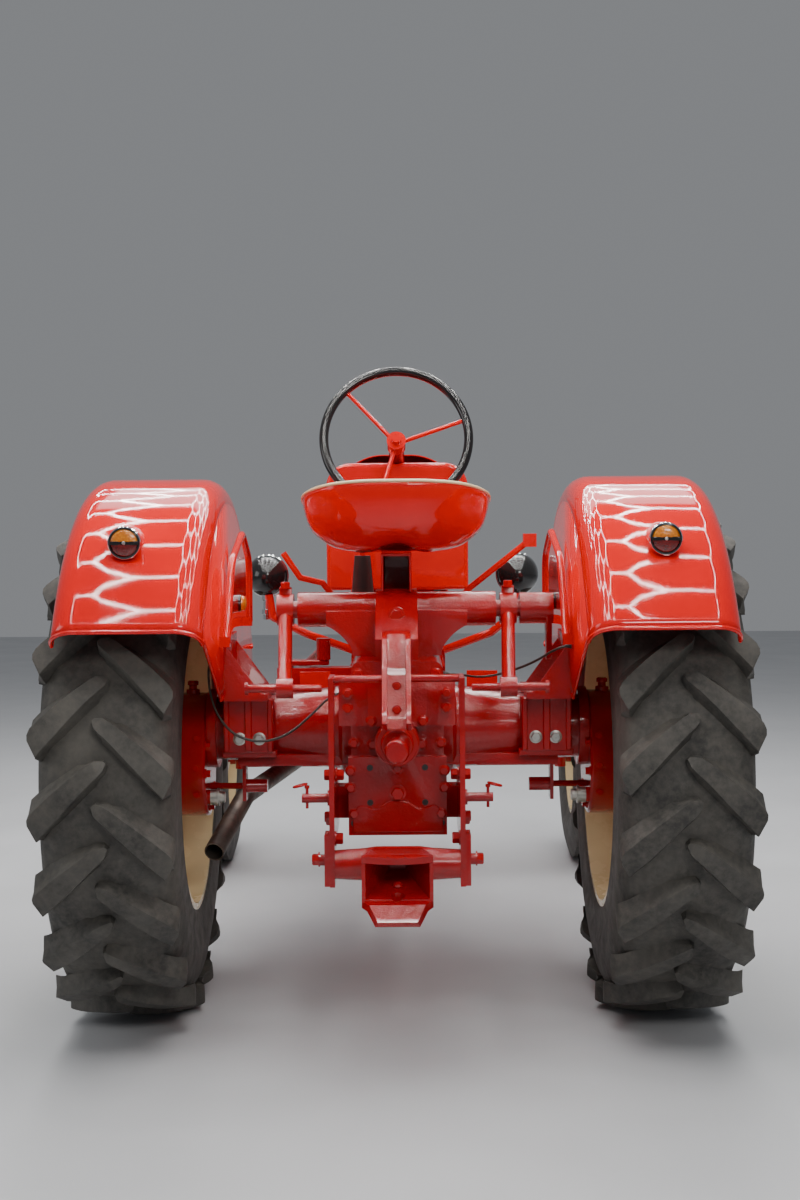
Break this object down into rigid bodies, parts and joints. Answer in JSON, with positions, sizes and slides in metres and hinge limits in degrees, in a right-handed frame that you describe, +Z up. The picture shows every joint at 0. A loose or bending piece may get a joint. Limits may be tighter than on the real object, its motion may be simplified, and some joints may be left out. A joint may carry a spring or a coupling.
{
  "type": "farm tractor",
  "caption": "Small open farm tractor with pan seat, mudguards, rear lift arms, trailer jaw and PTO; wheels roll, front wheels steer, bonnet tilts.",
  "frame": {"origin": "on the ground, under the middle of the overall length and width", "axes": "+Z up, -Y forward, +X to the driver's left"},
  "size_m": [1.628, 2.865, 1.6697],
  "materials": {
    "tyre_rubber": "worn dark rubber, dusty on the side walls",
    "wheel_cream": "cream gloss paint",
    "cast_red": "red gloss paint over rough castings",
    "paint_red": "red gloss paint on sheet steel",
    "black_gloss": "gloss black",
    "black_metal": "satin black paint",
    "black_rubber": "moulded black rubber",
    "clear_glass": "fluted clear lamp glass",
    "amber_lens": "amber lens",
    "red_lens": "dark red lens",
    "cable_sheath": "brown-black cable sheath",
    "exhaust_steel": "brown heat-stained steel"
  },
  "bodies": {
    "chassis": {"amber_lenses": "amber_lens", "axle_bracket": "cast_red", "axle_housings": "cast_red", "brake_linkage": "cast_red", "clutch_housing": "cast_red", "cylinders": "cast_red", "engine_block": "cast_red", "exhaust": "exhaust_steel", "fender_brackets": "cast_red", "fender_left": "paint_red", "fender_right": "paint_red", "final_drives": "cast_red", "footplates": "paint_red", "front_axle": "cast_red", "fuel_tank": "paint_red", "gear_boot": "black_rubber", "gearbox_housing": "cast_red", "grab_rails": "paint_red", "headlamp_brackets": "paint_red", "headlamp_lenses": "clear_glass", "headlamps": "black_gloss", "hitch_frame": "cast_red", "hitch_jaw": "cast_red", "hood_hinge": "cast_red", "lamp_cable_left": "cable_sheath", "lamp_cable_right": "cable_sheath", "levers": "paint_red", "lift_housing": "cast_red", "link_pins": "cast_red", "pto_cap": "cast_red", "radiator": "black_metal", "red_lenses": "red_lens", "seat_bracket": "cast_red", "seat_pan": "paint_red", "steering_column": "cast_red", "steering_pedestal": "cast_red", "tail_lamps": "black_gloss", "top_link_bracket": "cast_red"},
    "rear_wheel_left": {"rear_tyre_left": "tyre_rubber", "rear_rim_left": "wheel_cream", "rear_hub_left": "cast_red"},
    "rear_wheel_right": {"rear_tyre_right": "tyre_rubber", "rear_rim_right": "wheel_cream", "rear_hub_right": "cast_red"},
    "front_wheel_left": {"front_tyre_left": "tyre_rubber", "front_rim_left": "wheel_cream", "front_hub_left": "wheel_cream"},
    "front_wheel_right": {"front_tyre_right": "tyre_rubber", "front_rim_right": "wheel_cream", "front_hub_right": "wheel_cream"},
    "steer_left": {"knuckle_left": "cast_red"},
    "steer_right": {"knuckle_right": "cast_red"},
    "track_rod": {"tie_rod": "cast_red"},
    "rocker": {"drop_arm": "cast_red"},
    "steering_link": {"drag_link": "cast_red"},
    "steering_wheel": {"steering_rim": "black_gloss", "steering_spokes": "paint_red"},
    "bonnet": {"hood": "paint_red", "grille": "paint_red"},
    "lift_linkage": {"lift_arms": "cast_red"}
  },
  "joints": [
    {"name": "steer_left", "type": "hinge", "parent": "chassis", "child": "steer_left", "pos_m": [0.565, -1.0175, 0.475], "axis": [0, 0, 1], "range_deg": [-35, 35]},
    {"name": "steer_right", "type": "hinge", "parent": "chassis", "child": "steer_right", "pos_m": [-0.565, -1.0175, 0.475], "axis": [0, 0, 1], "range_deg": [-35, 35]},
    {"name": "tie_rod_swing", "type": "hinge", "parent": "steer_left", "child": "track_rod", "pos_m": [0.565, -0.8925, 0.37], "axis": [0, 0, 1], "range_deg": [-35, 35]},
    {"name": "drop_arm_swing", "type": "hinge", "parent": "chassis", "child": "rocker", "pos_m": [0.33, 0.0075, 0.8], "axis": [0, 0, 1], "range_deg": [-35, 35]},
    {"name": "drag_link_swing", "type": "hinge", "parent": "rocker", "child": "steering_link", "pos_m": [0.225, 0.0075, 0.848], "axis": [0, 0, 1], "range_deg": [-35, 35]},
    {"name": "steering_wheel_turn", "type": "hinge", "parent": "chassis", "child": "steering_wheel", "pos_m": [0, 0.2805, 1.465], "axis": [0, 0.9397, 0.342], "range_deg": [-525, 525]},
    {"name": "rear_left_spin", "type": "hinge", "parent": "chassis", "child": "rear_wheel_left", "pos_m": [0.655, 0.7725, 0.62], "axis": [1, 0, 0], "continuous": true},
    {"name": "rear_right_spin", "type": "hinge", "parent": "chassis", "child": "rear_wheel_right", "pos_m": [-0.655, 0.7725, 0.62], "axis": [1, 0, 0], "continuous": true},
    {"name": "front_left_spin", "type": "hinge", "parent": "steer_left", "child": "front_wheel_left", "pos_m": [0.675, -1.0175, 0.375], "axis": [1, 0, 0], "continuous": true},
    {"name": "front_right_spin", "type": "hinge", "parent": "steer_right", "child": "front_wheel_right", "pos_m": [-0.675, -1.0175, 0.375], "axis": [1, 0, 0], "continuous": true},
    {"name": "hood_tilt", "type": "hinge", "parent": "chassis", "child": "bonnet", "pos_m": [0, -1.3125, 0.852], "axis": [1, 0, 0], "range_deg": [0, 60]},
    {"name": "lift_shaft_turn", "type": "hinge", "parent": "chassis", "child": "lift_linkage", "pos_m": [0, 0.7725, 1.012], "axis": [1, 0, 0], "range_deg": [-15, 50]}
  ],
  "couplings": [
    {"joint": "steer_right", "follows": "steer_left", "ratio": 1},
    {"joint": "tie_rod_swing", "follows": "steer_left", "ratio": -1},
    {"joint": "drop_arm_swing", "follows": "steer_left", "ratio": 1},
    {"joint": "drag_link_swing", "follows": "steer_left", "ratio": -1},
    {"joint": "steering_wheel_turn", "follows": "steer_left", "ratio": 15}
  ]
}
